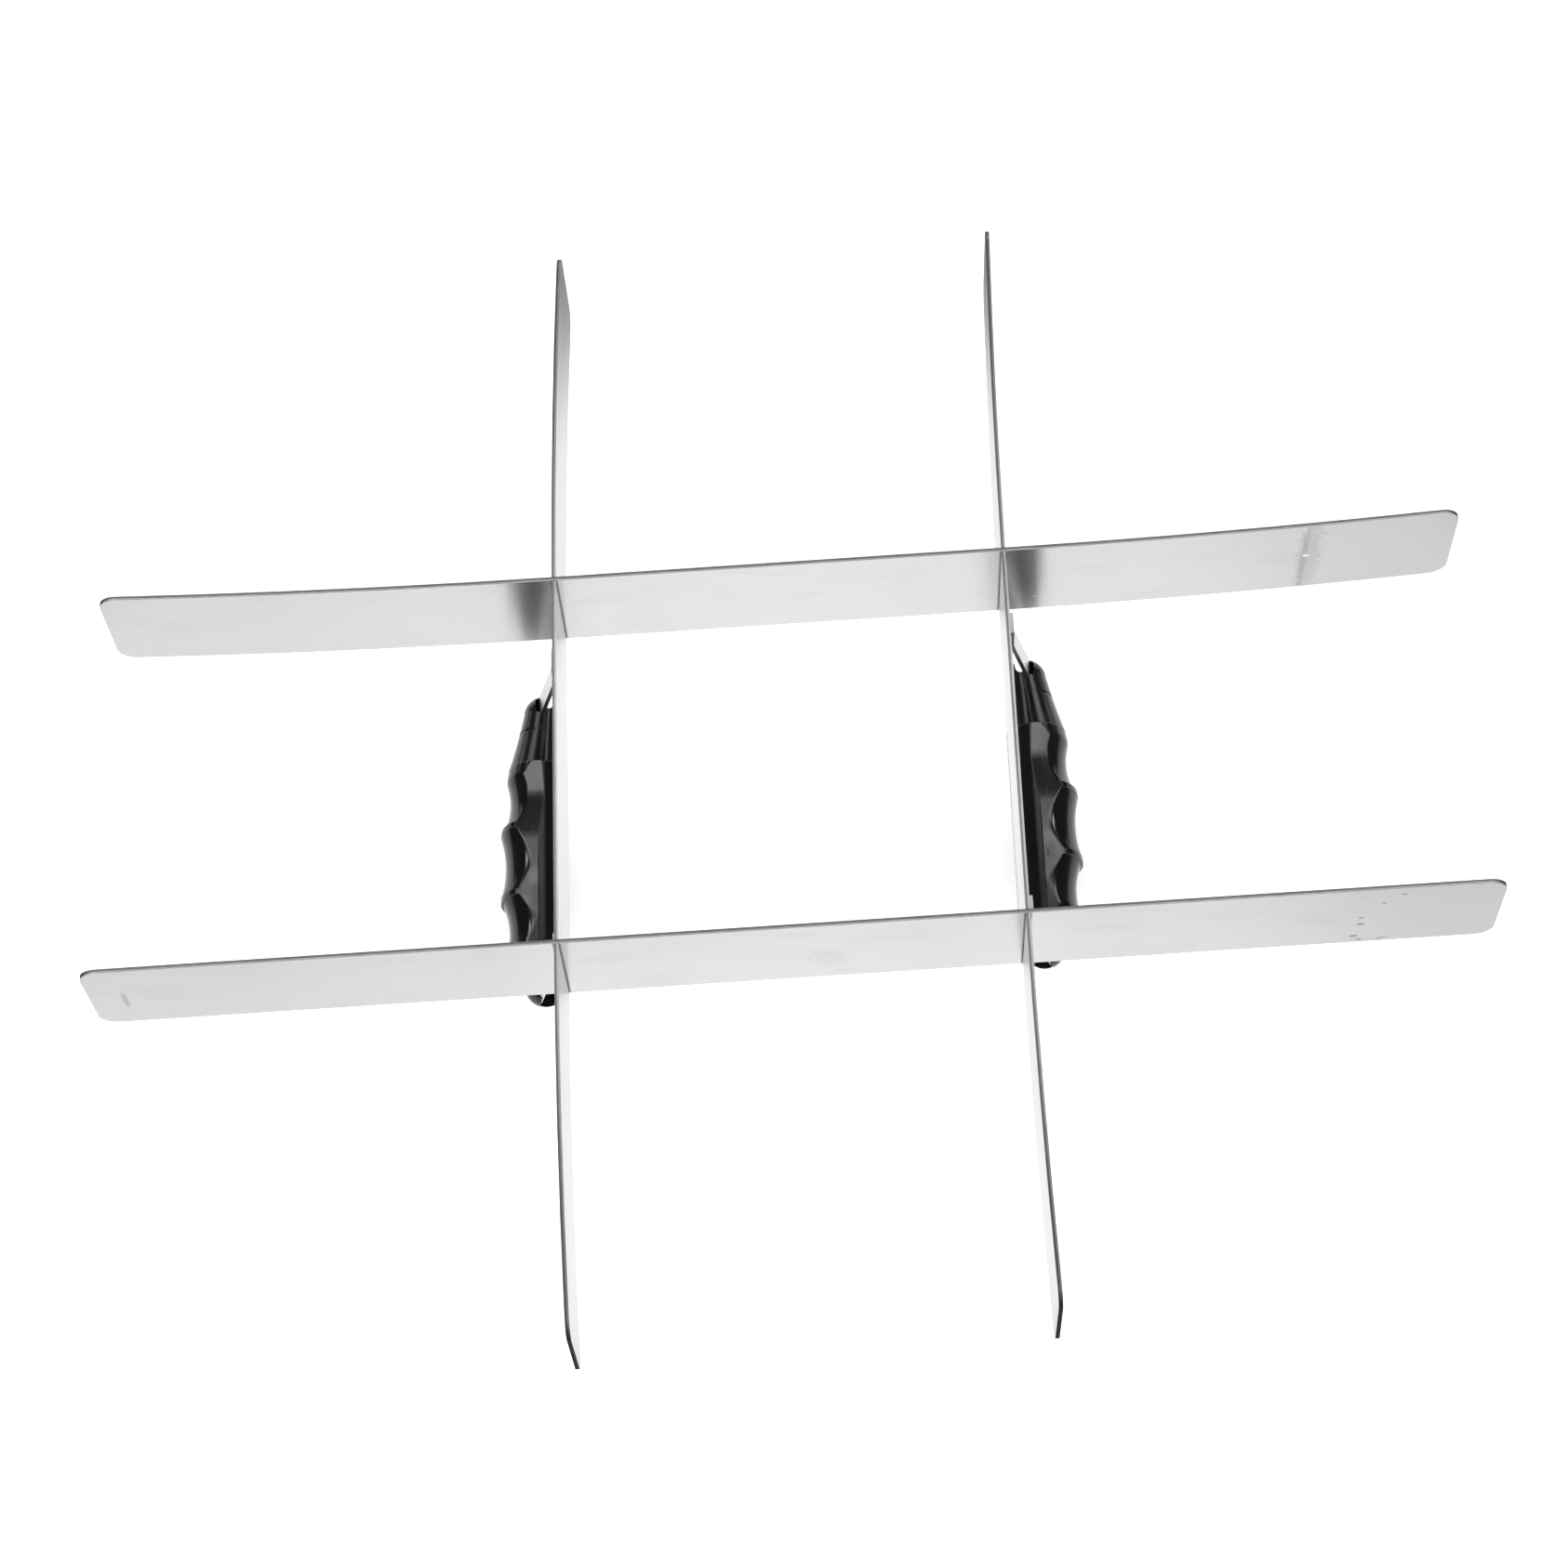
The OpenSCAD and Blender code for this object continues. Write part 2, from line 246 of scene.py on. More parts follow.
# Each lamp: its name, its place, its width and depth, and its power in watts. All face the marker's middle.
LAMP_TARGET = (0.0, 0.0, 0.03)
LAMPS = (
    ("over", (0.0, 1.2, 2.7), 1.8, 0.18, 6.5),
    ("side left", (-1.35, 1.45, 2.7), 0.4, 0.3, 4.5),
    ("side right", (1.35, 1.45, 2.7), 0.4, 0.3, 4.5),
    ("key", (-1.3, -2.35, 2.3), 1.05, 1.05, 31),
    ("fill", (1.3, -2.35, 2.3), 1.05, 1.05, 38),
)

# The floor: half its width, its lift straight on, and its glow in a mirror, which is painted light, near and
# far from the marker.
FLOOR_REACH = 6.0
FLOOR_LIFT = 0.68
FLOOR_GLOW_SHARE = 0.75
FLOOR_FAR_GLOW = 0.15

# The world: its even light, what is added straight on, taken off in a mirror, and added there at the back.
WORLD_LIGHT = 0.45
WORLD_WHITENING = 0.5
WORLD_MIRRORED_LOSS = 0.33
WORLD_MIRRORED_BACK = 1.2


def camera_turn():
    """Rotation from the elevation, azimuth and roll: the view axis first, then the roll about it"""
    ahead = Vector(
        (
            math.cos(CAMERA_ELEVATION) * math.sin(CAMERA_AZIMUTH),
            math.cos(CAMERA_ELEVATION) * math.cos(CAMERA_AZIMUTH),
            -math.sin(CAMERA_ELEVATION),
        )
    )
    right = ahead.cross(Vector((0, 0, 1))).normalized()
    up = right.cross(ahead)
    turned_right = right * math.cos(CAMERA_ROLL) + up * math.sin(CAMERA_ROLL)
    turned_up = turned_right.cross(ahead)
    return Matrix((turned_right, turned_up, -ahead)).transposed()


def add_lamp(name, place, width, depth, watts):
    """Rectangular soft lamp at a place, turned to face the marker"""
    data = bpy.data.lights.new(name, "AREA")
    data.shape = "RECTANGLE"
    data.size = width
    data.size_y = depth
    data.energy = watts
    lamp = bpy.data.objects.new(name, data)
    lamp.location = place
    aim = Vector(LAMP_TARGET) - Vector(place)
    lamp.rotation_euler = aim.to_track_quat("-Z", "Y").to_euler()
    bpy.context.scene.collection.objects.link(lamp)


class MARKER_OT_stage(bpy.types.Operator):
    """Adds the camera, the floor, the lamps and the pale surroundings"""

    bl_idname = "marker.stage"
    bl_label = "Stage"

    def execute(self, context):
        scene = context.scene
        camera_data = bpy.data.cameras.new("camera")
        camera_data.lens = CAMERA_LENS
        camera_data.sensor_width = 36.0
        camera_data.sensor_fit = "HORIZONTAL"
        camera_data.clip_end = 50.0
        camera = bpy.data.objects.new("camera", camera_data)
        camera.matrix_world = Matrix.Translation(CAMERA_PLACE) @ camera_turn().to_4x4()
        scene.collection.objects.link(camera)
        scene.camera = camera

        floor_mesh = bpy.data.meshes.new("floor")
        corners = [(x * FLOOR_REACH, y * FLOOR_REACH, 0) for x, y in ((-1, -1), (1, -1), (1, 1), (-1, 1))]
        floor_mesh.from_pydata(corners, [], [(0, 1, 2, 3)])
        floor = bpy.data.objects.new("floor", floor_mesh)
        scene.collection.objects.link(floor)
        floor.data.materials.append(floor_material(scene.marker_finish.floor))

        pale_surroundings(scene)
        for name, place, width, depth, watts in LAMPS:
            add_lamp(name, place, width, depth, watts)

        scene.view_settings.view_transform = "Standard"
        return {"FINISHED"}


def pale_surroundings(scene):
    """World of even light: whiter straight on, darker in a mirror apart from a light strip low at the back"""
    world = bpy.data.worlds.new("studio")
    scene.world = world
    world.use_nodes = True
    w = Wires(world.node_tree)
    rays = w.node("ShaderNodeLightPath").outputs
    _, y, z = w.split(w.node("ShaderNodeTexCoord").outputs["Generated"])
    behind = w.times(w.ramp(z, 0.12, 0.3, 1.0, 0.0), w.ramp(y, 0.55, 0.75))
    change = w.minus(w.times(behind, WORLD_MIRRORED_BACK), WORLD_MIRRORED_LOSS)
    mirrored = w.times(rays["Is Glossy Ray"], change)
    strength = w.plus(w.times(rays["Is Camera Ray"], WORLD_WHITENING), WORLD_LIGHT)
    strength = w.plus(strength, mirrored)
    background = world.node_tree.nodes["Background"]
    background.inputs["Color"].default_value = (1, 1, 1, 1)
    w.tree.links.new(strength, background.inputs["Strength"])


def floor_material(colour):
    """Pale matt floor that keeps its shadows and looks white, straight on and in the steel

    Straight on it is lifted towards white. Seen in a mirror it glows with painted light: brightest by the
    marker's middle, dimmer towards the sides and the right, with painted shade of the grips beyond their outer
    sides, and fading out away from the marker.
    """
    material = bpy.data.materials.new("floor")
    material.use_nodes = True
    w = Wires(material.node_tree)
    w.tree.nodes.clear()
    out = w.node("ShaderNodeOutputMaterial")
    path = w.node("ShaderNodeLightPath").outputs
    x, y, _ = w.split(w.node("ShaderNodeTexCoord").outputs["Object"])
    away = w.math("ABSOLUTE", x)
    # Painted light: the mirrored glow is brightest under the marker and falls off towards the sides and to the
    # right; the extra drop beyond the grips' outer sides is painted shade of the grips
    even = w.plus(w.ramp(away, 0.05, 0.17, 1.645, 1.475), w.ramp(away, 0.13, 0.23, 0.0, -0.17))
    even = w.plus(even, w.ramp(x, 0.15, 0.25, 0.0, -0.225))
    even = w.times(even, w.ramp(away, 0.25, 0.32, 1.0, FLOOR_FAR_GLOW))
    even = w.times(even, w.ramp(w.math("ABSOLUTE", y), 0.16, 0.26, 1.0, FLOOR_FAR_GLOW))
    white = (1, 1, 1, 1)
    matt = w.node("ShaderNodeBsdfDiffuse", {"Color": (*colour, 1)}).outputs[0]
    strength = w.times(path["Is Camera Ray"], FLOOR_LIFT)
    lift = w.node("ShaderNodeEmission", {"Color": white, "Strength": strength}).outputs[0]
    straight = w.node("ShaderNodeAddShader", {0: matt, 1: lift}).outputs[0]
    glow = w.node("ShaderNodeEmission", {"Color": white, "Strength": even}).outputs[0]
    mirrored = w.node("ShaderNodeMixShader", {0: FLOOR_GLOW_SHARE, 1: matt, 2: glow}).outputs[0]
    both = w.node("ShaderNodeMixShader", {0: path["Is Glossy Ray"], 1: straight, 2: mirrored}).outputs[0]
    w.tree.links.new(both, out.inputs["Surface"])
    return material


# Node trees

VECTOR = "NodeSocketVector"
FLOAT = "NodeSocketFloat"


class Wires:
    """Writes a node tree: every call adds one node, joins or sets its inputs and gives its output"""

    def __init__(self, tree):
        self.tree = tree

    def node(self, kind, inputs=(), **fields):
        node = self.tree.nodes.new(kind)
        for key, value in fields.items():
            setattr(node, key, value)
        for key, value in dict(inputs).items():
            if isinstance(value, bpy.types.NodeSocket):
                self.tree.links.new(value, node.inputs[key])
            else:
                node.inputs[key].default_value = value
        return node

    def math(self, operation, a, b=0.0):
        return self.node("ShaderNodeMath", {0: a, 1: b}, operation=operation).outputs[0]

    def plus(self, a, b):
        return self.math("ADD", a, b)

    def minus(self, a, b):
        return self.math("SUBTRACT", a, b)

    def times(self, a, b):
        return self.math("MULTIPLY", a, b)

    def vector_math(self, operation, a, b=(0.0, 0.0, 0.0)):
        return self.node("ShaderNodeVectorMath", {0: a, 1: b}, operation=operation).outputs[0]

    def ramp(self, value, low, high, start=0.0, end=1.0):
        """Smooth step from start at low to end at high"""
        inputs = {"Value": value, "From Min": low, "From Max": high, "To Min": start, "To Max": end}
        return self.node("ShaderNodeMapRange", inputs, interpolation_type="SMOOTHSTEP").outputs[0]

    def noise(self, vector, scale, detail=2.0, roughness=0.5):
        inputs = {"Vector": vector, "Scale": scale, "Detail": detail, "Roughness": roughness}
        return self.node("ShaderNodeTexNoise", inputs).outputs[0]

    def vector(self, x, y, z):
        return self.node("ShaderNodeCombineXYZ", {"X": x, "Y": y, "Z": z}).outputs[0]

    def split(self, vector):
        return self.node("ShaderNodeSeparateXYZ", {"Vector": vector}).outputs

    def mix(self, factor, a, b):
        """Mixes two colours: sockets 6 and 7 of the node take them and its output 2 gives the result"""
        return self.node("ShaderNodeMix", {0: factor, 6: a, 7: b}, data_type="RGBA").outputs[2]


def effect(name, inputs, outputs):
    """New group of shader nodes with named sockets; gives its tree, its wires, its inputs and its outputs"""
    tree = bpy.data.node_groups.new(name, "ShaderNodeTree")
    for label, kind in inputs:
        tree.interface.new_socket(label, in_out="INPUT", socket_type=kind)
    for label in outputs:
        kind = VECTOR if label == "Normal" else FLOAT
        tree.interface.new_socket(label, in_out="OUTPUT", socket_type=kind)
    given = tree.nodes.new("NodeGroupInput").outputs
    return tree, Wires(tree), given, tree.nodes.new("NodeGroupOutput").inputs


def use(wires, builder, inputs):
    """Puts the group that a builder makes, once, into a tree and gives its outputs"""
    group = bpy.data.node_groups.get(builder.__name__) or builder(builder.__name__)
    return wires.node("ShaderNodeGroup", inputs, node_tree=group).outputs


def blade_place(name):
    """Place on a blade in millimetres: along it, across its thickness (its bow taken out) and up

    The bow grows with the square of the way past the crossing, as a part of the free end's reach. The normal
    is that of the strip bent so, on the side of the point.
    """
    inputs = [("Place", VECTOR), ("Middle", VECTOR)]
    inputs += [(one, FLOAT) for one in ("Turn", "Crossing", "Reach", "Bow")]
    tree, w, given, out = effect(name, inputs, ("Along", "Across", "Up", "Normal"))
    moved = w.vector_math("MULTIPLY", given["Place"], (1 / MM, 1 / MM, 1 / MM))
    x, y, z = w.split(w.vector_math("SUBTRACT", moved, given["Middle"]))
    cos, sin = w.math("COSINE", given["Turn"]), w.math("SINE", given["Turn"])
    along = w.plus(w.times(x, cos), w.times(y, sin))
    across = w.minus(w.times(y, cos), w.times(x, sin))
    free = w.math("MAXIMUM", w.minus(w.math("ABSOLUTE", along), given["Crossing"]), 0.0)
    part = w.math("DIVIDE", free, given["Reach"])
    bent = w.times(w.times(part, part), given["Bow"])
    tree.links.new(along, out["Along"])
    straight = w.minus(across, bent)
    tree.links.new(straight, out["Across"])
    tree.links.new(z, out["Up"])
    side = w.math("SIGN", straight)
    slope = w.math("DIVIDE", w.times(bent, 2.0), w.math("MAXIMUM", free, 0.01))
    slope = w.times(slope, w.math("SIGN", along))
    normal_x = w.minus(w.times(w.times(slope, cos), -1.0), sin)
    normal_y = w.minus(cos, w.times(slope, sin))
    normal = w.vector(w.times(normal_x, side), w.times(normal_y, side), 0.0)
    tree.links.new(w.vector_math("NORMALIZE", normal), out["Normal"])
    return tree


def brushed_grain(name):
    """Grain of rolled and brushed strip: fine lines along it, smudges, and a few long scratches"""
    inputs = [(one, FLOAT) for one in ("Along", "Across", "Up", "Pitch")]
    tree, w, given, out = effect(name, inputs, ("Grain", "Smudge", "Scratch", "Height"))
    step = w.math("DIVIDE", given["Up"], given["Pitch"])
    along, across, up = given["Along"], given["Across"], given["Up"]
    fine = w.noise(w.vector(w.times(along, 0.035), across, step), 1.0, 3.0, 0.6)
    broad = w.noise(w.vector(w.times(along, 0.012), across, w.times(up, 0.55)), 1.0, 2.0)
    grain = w.plus(w.times(fine, 0.5), w.times(broad, 0.5))
    spread = w.vector(w.times(along, 0.03), across, w.times(up, 0.09))
    smudge = w.ramp(w.noise(spread, 1.0, 4.0, 0.6), 0.52, 0.72)
    tilted = w.plus(up, w.times(along, 0.13))
    line = w.noise(w.vector(w.times(along, 0.02), across, w.times(tilted, 1.9)), 1.0, 1.0)
    patch = w.noise(w.vector(w.times(along, 0.05), across, 3.0), 1.0, 1.0)
    narrow = w.ramp(w.math("ABSOLUTE", w.minus(line, 0.5)), 0.0, 0.006, 1.0, 0.0)
    scratch = w.times(narrow, w.ramp(patch, 0.56, 0.64))
    height = w.minus(grain, w.times(scratch, 0.8))
    for label, value in (("Grain", grain), ("Smudge", smudge), ("Scratch", scratch), ("Height", height)):
        tree.links.new(value, out[label])
    return tree


def sheared_edge(name):
    """Cut edges of the strip: the torn side past a rippled line, and a mask that is strongest at the rounded
    corners of the ends and fades along the blade
    """
    inputs = [(one, FLOAT) for one in ("Along", "Across", "Up", "Half length", "Split")]
    tree, w, given, out = effect(name, inputs, ("Torn", "Corner"))
    along = given["Along"]
    ripple = w.noise(w.vector(w.times(along, 0.4), w.times(given["Up"], 0.4), 0.0), 1.0, 3.0)
    split = w.plus(given["Split"], w.times(w.minus(ripple, 0.5), 0.35))
    torn = w.ramp(w.minus(given["Across"], split), -0.12, 0.12)
    corner = w.ramp(w.minus(given["Half length"], w.math("ABSOLUTE", along)), 0.0, CORNER_REACH, 1.0, 0.0)
    for label, value in (("Torn", torn), ("Corner", corner)):
        tree.links.new(value, out[label])
    return tree


def spot(name):
    """Mask of one ragged mark: an oval about its middle, broken up by a noise"""
    labels = ("Along", "Up", "Middle along", "Middle up", "Half length", "Half height", "Grit")
    tree, w, given, out = effect(name, [(one, FLOAT) for one in labels], ("Mask",))
    x = w.math("DIVIDE", w.minus(given["Along"], given["Middle along"]), given["Half length"])
    y = w.math("DIVIDE", w.minus(given["Up"], given["Middle up"]), given["Half height"])
    far = w.math("SQRT", w.plus(w.times(x, x), w.times(y, y)))
    ragged = w.noise(w.vector(given["Along"], given["Up"], 0.0), given["Grit"], 4.0, 0.65)
    shape = w.plus(far, w.times(w.minus(ragged, 0.5), 2.4))
    tree.links.new(w.ramp(shape, 0.45, 0.95, 1.0, 0.0), out["Mask"])
    return tree


def moulded_skin(name):
    """Skin of the moulded plastic: faint orange peel, rubbed patches, hair scratches and a little dust"""
    tree, w, given, out = effect(name, [("Place", VECTOR)], ("Peel", "Rubbed", "Hair", "Dust"))
    place = given["Place"]
    peel = w.noise(place, 900.0, 2.0, 0.5)
    rubbed = w.ramp(w.noise(place, 70.0, 4.0, 0.6), 0.45, 0.75)
    x, y, z = w.split(place)
    drawn = w.vector(w.times(x, 900.0), w.times(y, 60.0), w.times(z, 300.0))
    line = w.noise(drawn, 1.0, 1.0)
    hair = w.ramp(w.math("ABSOLUTE", w.minus(line, 0.5)), 0.0, 0.012, 1.0, 0.0)
    hair = w.times(hair, w.ramp(w.noise(place, 120.0, 1.0), 0.5, 0.62))
    dust = w.ramp(w.noise(place, 2600.0, 1.0), 0.74, 0.8)
    for label, value in (("Peel", peel), ("Rubbed", rubbed), ("Hair", hair), ("Dust", dust)):
        tree.links.new(value, out[label])
    return tree


# Materials


def new_material(name):
    """Empty principled material with its wires, its shader and the object coordinates"""
    material = bpy.data.materials.new(name)
    material.use_nodes = True
    wires = Wires(material.node_tree)
    place = wires.node("ShaderNodeTexCoord").outputs["Object"]
    return material, wires, material.node_tree.nodes["Principled BSDF"], place


def grey(value):
    """Grey of that value with a trace of blue"""
    return (value, value, value * 1.005, 1.0)


def toned(colour, factor):
    """Lighter or darker tone of a colour"""
    return (*[part * factor for part in colour], 1.0)


def marked(w, face, rough, place, marks):
    """Adds marks to a face's colour and roughness, on the side of the strip that the photograph shows"""
    along, across, up = place
    for middle_along, middle_up, half_length, half_height, grit, strength, tone in marks:
        inputs = {
            "Along": along,
            "Up": up,
            "Middle along": middle_along,
            "Middle up": middle_up,
            "Half length": half_length,
            "Half height": half_height,
            "Grit": grit,
        }
        mask = w.times(w.times(use(w, spot, inputs)["Mask"], strength), w.math("LESS_THAN", across, 0.0))
        face = w.mix(mask, face, grey(tone))
        rough = w.plus(rough, w.times(mask, MARK_ROUGHNESS))
    return face, rough


def blade_material(name, colour, middle, turn, crossing, half, bow, pitch, marks):
    """Brushed blade: grain, smudges and marks on its faces, painted shade in the gaps at the crossings,
    two-tone cut edges

    A point is on a cut edge where its normal departs from that of the bent strip's face.
    """
    material, w, shader, place = new_material(name)
    inputs = {"Place": place, "Middle": middle, "Turn": turn, "Bow": bow}
    inputs |= {"Crossing": crossing, "Reach": half - crossing}
    at = use(w, blade_place, inputs)
    along, across, up = at["Along"], at["Across"], at["Up"]
    grain = use(w, brushed_grain, {"Along": along, "Across": across, "Up": up, "Pitch": pitch})
    inputs = {"Along": along, "Across": across, "Up": up, "Half length": half, "Split": EDGE_SPLIT}
    cut = use(w, sheared_edge, inputs)
    face = w.mix(grain["Grain"], toned(colour, 1 - GRAIN_CONTRAST), toned(colour, 1 + GRAIN_CONTRAST))
    face = w.mix(w.times(grain["Smudge"], 0.08), face, toned(colour, 0.88))
    face = w.mix(w.times(grain["Scratch"], 0.35), face, grey(0.4))
    rough = w.plus(w.times(grain["Grain"], GRAIN_ROUGHNESS), STEEL_ROUGHNESS)
    rough = w.plus(rough, w.times(grain["Smudge"], 0.015))
    face, rough = marked(w, face, rough, (along, across, up), marks)
    # Painted shade: within about two millimetres of each crossing the face is painted dark, standing for the
    # shade in the narrow gap where the other blade passes through its slot
    seam = w.math("ABSOLUTE", w.minus(w.math("ABSOLUTE", along), crossing))
    face = w.mix(w.ramp(seam, 1.0, 1.7, 0.8, 0.0), face, grey(0.08))
    edge = w.mix(cut["Torn"], grey(0.85), grey(0.38))
    # Near the blade's ends the cut edges are darkened almost to black
    edge = w.mix(w.times(cut["Corner"], 0.9), edge, grey(0.04))
    true = w.node("ShaderNodeNewGeometry").outputs["Normal"]
    inputs = {0: true, 1: at["Normal"]}
    facing = w.node("ShaderNodeVectorMath", inputs, operation="DOT_PRODUCT").outputs["Value"]
    on_edge = w.ramp(w.math("ABSOLUTE", facing), 0.8, 0.95, 1.0, 0.0)
    w.tree.links.new(w.mix(on_edge, face, edge), shader.inputs["Base Color"])
    w.tree.links.new(w.plus(rough, w.times(on_edge, EDGE_ROUGHNESS)), shader.inputs["Roughness"])
    smooth = w.node("ShaderNodeMix", {0: on_edge, 4: at["Normal"], 5: true}, data_type="VECTOR").outputs[1]
    inputs = {"Height": grain["Height"], "Strength": 0.2, "Distance": 0.00003, "Normal": smooth}
    w.tree.links.new(w.node("ShaderNodeBump", inputs).outputs[0], shader.inputs["Normal"])
    w.tree.links.new(w.vector(0.0, 0.0, 1.0), shader.inputs["Tangent"])
    shader.inputs["Anisotropic"].default_value = 1.0
    shader.inputs["Metallic"].default_value = 1.0
    return material


def plate_material(colour, turn, pitch):
    """Stamped strap steel: grain up and down it, dulled patches and a dark streaky bend

    The grain is that of a straight blade turned on end, beyond whose crossing no point lies.
    """
    material, w, shader, place = new_material("plate_steel")
    inputs = {"Place": place, "Middle": (0, 0, 0), "Turn": turn, "Crossing": 500.0, "Reach": 1.0, "Bow": 0.0}
    at = use(w, blade_place, inputs)
    inputs = {"Along": at["Up"], "Across": w.times(at["Across"], 0.2), "Up": at["Along"], "Pitch": pitch}
    grain = use(w, brushed_grain, inputs)
    face = w.mix(grain["Grain"], toned(colour, 0.72), toned(colour, 1.0))
    face = w.mix(w.times(grain["Smudge"], 0.5), face, grey(0.42))
    bend = w.times(w.ramp(at["Up"], *STREAKS_START), w.ramp(at["Up"], *STREAKS_END, 1.0, 0.0))
    drawn = w.noise(w.vector(w.times(at["Along"], 1.6), w.times(at["Up"], 0.2), 0.0), 1.0, 3.0)
    face = w.mix(w.times(bend, w.ramp(drawn, 0.35, 0.65)), face, grey(0.2))
    w.tree.links.new(face, shader.inputs["Base Color"])
    w.tree.links.new(w.plus(w.times(grain["Grain"], 0.2), 0.24), shader.inputs["Roughness"])
    bump = w.node("ShaderNodeBump", {"Height": grain["Height"], "Strength": 0.3, "Distance": 0.00005})
    w.tree.links.new(bump.outputs[0], shader.inputs["Normal"])
    shader.inputs["Metallic"].default_value = 1.0
    return material


def plastic_material(colour):
    """Black moulded plastic: glossy, with rubbed patches, hair scratches, orange peel and specks of dust"""
    material, w, shader, place = new_material("grip_plastic")
    skin = use(w, moulded_skin, {"Place": place})
    base = w.mix(w.times(skin["Rubbed"], 0.8), toned(colour, 1.0), toned(colour, 1.9))
    base = w.mix(w.times(skin["Dust"], 0.3), base, grey(0.2))
    w.tree.links.new(base, shader.inputs["Base Color"])
    rough = w.plus(w.times(skin["Rubbed"], RUBBED_ROUGHNESS), PLASTIC_ROUGHNESS)
    rough = w.plus(rough, w.times(skin["Hair"], 0.15))
    w.tree.links.new(rough, shader.inputs["Roughness"])
    height = w.minus(skin["Peel"], w.times(skin["Hair"], 0.6))
    bump = w.node("ShaderNodeBump", {"Height": height, "Strength": 0.12, "Distance": 0.00004})
    w.tree.links.new(bump.outputs[0], shader.inputs["Normal"])
    shader.inputs["Specular IOR Level"].default_value = 0.45
    return material


def dress(node, material):
    """Gives a solid of the frame its material"""
    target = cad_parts[node]
    target.data.materials.clear()
    target.data.materials.append(material)


# The moulded grip


def plate_out(lean):
    """Distance of the plate's middle from its blade at the height of the grip's axis"""
    drop = BEND_TOP - BEND_RADIUS * math.sin(lean) - HALF_HEIGHT
    return TAB_MIDDLE + BEND_RADIUS * (1 - math.cos(lean)) + drop * math.tan(lean)


def soft_min(a, b, width):
    """Smaller of two surfaces with the crease between them rounded off over a width"""
    blend = np.clip(1 - np.abs(a - b) / width, 0, 1)
    return np.minimum(a, b) - blend**2 * width / 4


def spaced(start, end, step, places, fine):
    """Even places from start to end, with closer ones round each given place"""
    close = [np.linspace(p - 5 * fine, p + 5 * fine, 11) for p in places]
    every = np.concatenate([np.linspace(start, end, int(abs(end - start) / step) + 2), *close])
    return np.unique(np.round(every[(every >= start) & (every <= end)], 4))


def end_rings(reach, wide_radius, wide_out, cap_out, groove, angles):
    """Rings of one end, from the tip of the cap to the body

    The radius is the larger of a dome about the cap's centre and a cone that touches it, widens to the body
    and is hollowed by half a sine, less the grooved ring. The centre of the rings moves across in proportion
    to the way along.
    """
    across = wide_out - cap_out
    length = math.hypot(reach, across)
    inner = CAP_RADIUS - CONE_INSET
    slope = math.acos(inner / math.hypot(wide_radius, length)) - math.atan(length / wide_radius)
    dome = -CAP_RADIUS * np.cos(np.linspace(0.06, math.pi / 2 - 0.02, 26))
    cone = spaced(0.0, length, 0.7, (groove, groove + GROOVE_WIDTH), 0.05)
    place = np.concatenate([dome, cone])
    radius = np.sqrt(np.maximum(CAP_RADIUS**2 - place**2, 0))
    hollow = TAPER_HOLLOW * np.sin(math.pi * np.clip(place / length, 0, 1))
    widening = inner / math.cos(slope) + place * math.tan(slope) - hollow
    radius = np.where(place > -inner * math.sin(slope), np.maximum(radius, widening), radius)
    floor = inner / math.cos(slope) + groove * math.tan(slope) - GROOVE_DEPTH
    after = np.clip((place - groove) / GROOVE_LIP + 0.5, 0, 1)
    before = np.clip((groove + GROOVE_WIDTH - place) / GROOVE_LIP + 0.5, 0, 1)
    inside = (after * before) ** 2 * (3 - 2 * after * before)
    radius = radius + (np.minimum(floor, radius) - radius) * inside
    centre = cap_out + across * np.clip(place, 0, None) / length
    return place, centre, np.repeat(radius[:, None], angles.size, axis=1)


def body_rings(softness, angles):
    """Rings of the body: a smooth half cylinder towards the blade and a crowned, flat-topped finger side

    The finger side is the smaller of the crowned turning surface, the two flats and the three scoops, each
    turned about its own eccentric axis, with every crease rounded. A fine mould line runs along both seams,
    and both ends of the body are rounded off.
    """
    ends = [place + side * length / 2 for place, length, *_ in SCOOPS for side in (-1, 1)]
    along = spaced(BACK_END, FRONT_END, 0.55, [*ends, BACK_END, FRONT_END], 0.09)
    v, turn = along[:, None], angles[None, :]
    cos, sin = np.cos(turn), np.sin(turn)
    offset = INNER_OFFSET + LINE_INSET
    inner = offset * cos + np.sqrt(HALF_HEIGHT**2 - (offset * sin) ** 2) + 0 * v
    crown = SIDE_REACH - CROWN_RADIUS + np.sqrt(CROWN_RADIUS**2 - (v - CROWN_PLACE) ** 2) + 0 * turn
    flat = HALF_HEIGHT / np.maximum(np.abs(sin), 0.05) + 0 * v
    outer = soft_min(crown, flat, 2 * softness)
    for place, length, deepest, depth, axis in SCOOPS:
        sweep = (length**2 / 4 + depth**2) / (2 * depth)
        way = np.abs(v - place)
        reach = deepest - axis + sweep - np.sqrt(sweep**2 - np.minimum(way, length / 2) ** 2)
        reach = reach + np.maximum(way - length / 2, 0) * SCOOP_END_SLOPE
        middle = axis + LINE_INSET
        scoop = middle * cos + np.sqrt(np.maximum(reach**2 - (middle * sin) ** 2, 0))
        outer = soft_min(outer, scoop, softness)
    radius = np.where(cos < 0, inner, outer)
    seam = np.minimum(np.abs(turn - math.pi / 2), np.abs(turn - 1.5 * math.pi)) * HALF_HEIGHT
    radius = radius - MOULD_LINE_DEPTH * np.clip(1 - seam / MOULD_LINE_WIDTH, 0, 1)
    near = np.clip(END_ROUNDING - np.minimum(v - BACK_END, FRONT_END - v), 0, END_ROUNDING)
    lost = END_ROUNDING - np.sqrt(END_ROUNDING**2 - near**2)
    return along, radius - lost


